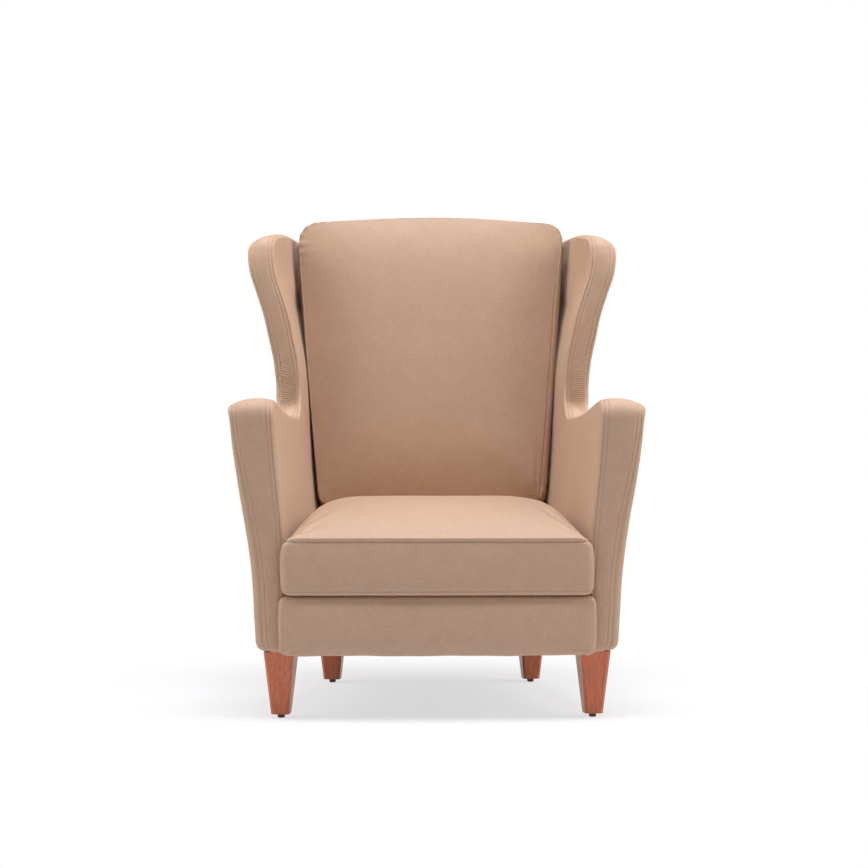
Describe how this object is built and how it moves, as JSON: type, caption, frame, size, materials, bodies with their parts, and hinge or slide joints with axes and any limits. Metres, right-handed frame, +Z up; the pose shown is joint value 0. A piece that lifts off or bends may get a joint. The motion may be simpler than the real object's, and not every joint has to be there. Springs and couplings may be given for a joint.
{
  "type": "fireside chair",
  "caption": "Upholstered fireside wing chair with a loose seat cushion and back cushion on four tapered wooden legs.",
  "frame": {"origin": "on the floor, under the middle of the chair's bounding box", "axes": "+Z up, the front of the chair looks along -Y, +X to the right as seen from the front"},
  "size_m": [0.8256, 0.8406, 1.0512],
  "materials": {
    "cloth": "fine napped weave",
    "stained_wood": "satin red-brown stain",
    "beech": "planed",
    "steel": "plain",
    "foam": "open-cell foam",
    "webbing": "woven",
    "dark_plastic": "moulded"
  },
  "bodies": {
    "frame": {"seat_deck": "cloth", "inside_back_pad": "cloth", "outside_back_panel": "cloth", "front_rail_pad": "cloth", "left_arm_upholstery": "cloth", "right_arm_upholstery": "cloth", "left_wing_upholstery": "cloth", "right_wing_upholstery": "cloth", "right_front_leg": "stained_wood", "left_front_leg": "stained_wood", "right_rear_leg": "stained_wood", "left_rear_leg": "stained_wood", "front_seat_rail": "beech", "rear_seat_rail": "beech", "back_top_rail": "beech", "back_lower_rail": "beech", "left_side_seat_rail": "beech", "left_front_corner_block": "beech", "left_rear_corner_block": "beech", "left_arm_post": "beech", "left_arm_rail": "beech", "left_wing_post": "beech", "left_wing_rail": "beech", "left_back_post": "beech", "right_side_seat_rail": "beech", "right_front_corner_block": "beech", "right_rear_corner_block": "beech", "right_arm_post": "beech", "right_arm_rail": "beech", "right_wing_post": "beech", "right_wing_rail": "beech", "right_back_post": "beech", "seat_spring_1": "steel", "seat_spring_2": "steel", "seat_spring_3": "steel", "seat_spring_4": "steel", "right_front_leg_bolt": "steel", "left_front_leg_bolt": "steel", "right_rear_leg_bolt": "steel", "left_rear_leg_bolt": "steel", "upper_back_web": "webbing", "middle_back_web": "webbing", "lower_back_web": "webbing", "dust_cover": "webbing", "right_front_glide": "dark_plastic", "left_front_glide": "dark_plastic", "right_rear_glide": "dark_plastic", "left_rear_glide": "dark_plastic"},
    "seat_cushion": {"seat_cushion_cover": "cloth", "seat_cushion_core": "foam", "seat_cushion_zip": "dark_plastic"},
    "back_cushion": {"back_cushion_cover": "cloth", "back_cushion_core": "foam", "back_cushion_zip": "dark_plastic"}
  },
  "joints": [
    {"name": "seat_cushion_slide", "type": "slide", "parent": "frame", "child": "seat_cushion", "axis": [0, -0.9996, 0.0297], "range_m": [0, 0.62]},
    {"name": "back_cushion_lift", "type": "slide", "parent": "frame", "child": "back_cushion", "axis": [0, 0.1908, 0.9816], "range_m": [0, 0.66]}
  ]
}
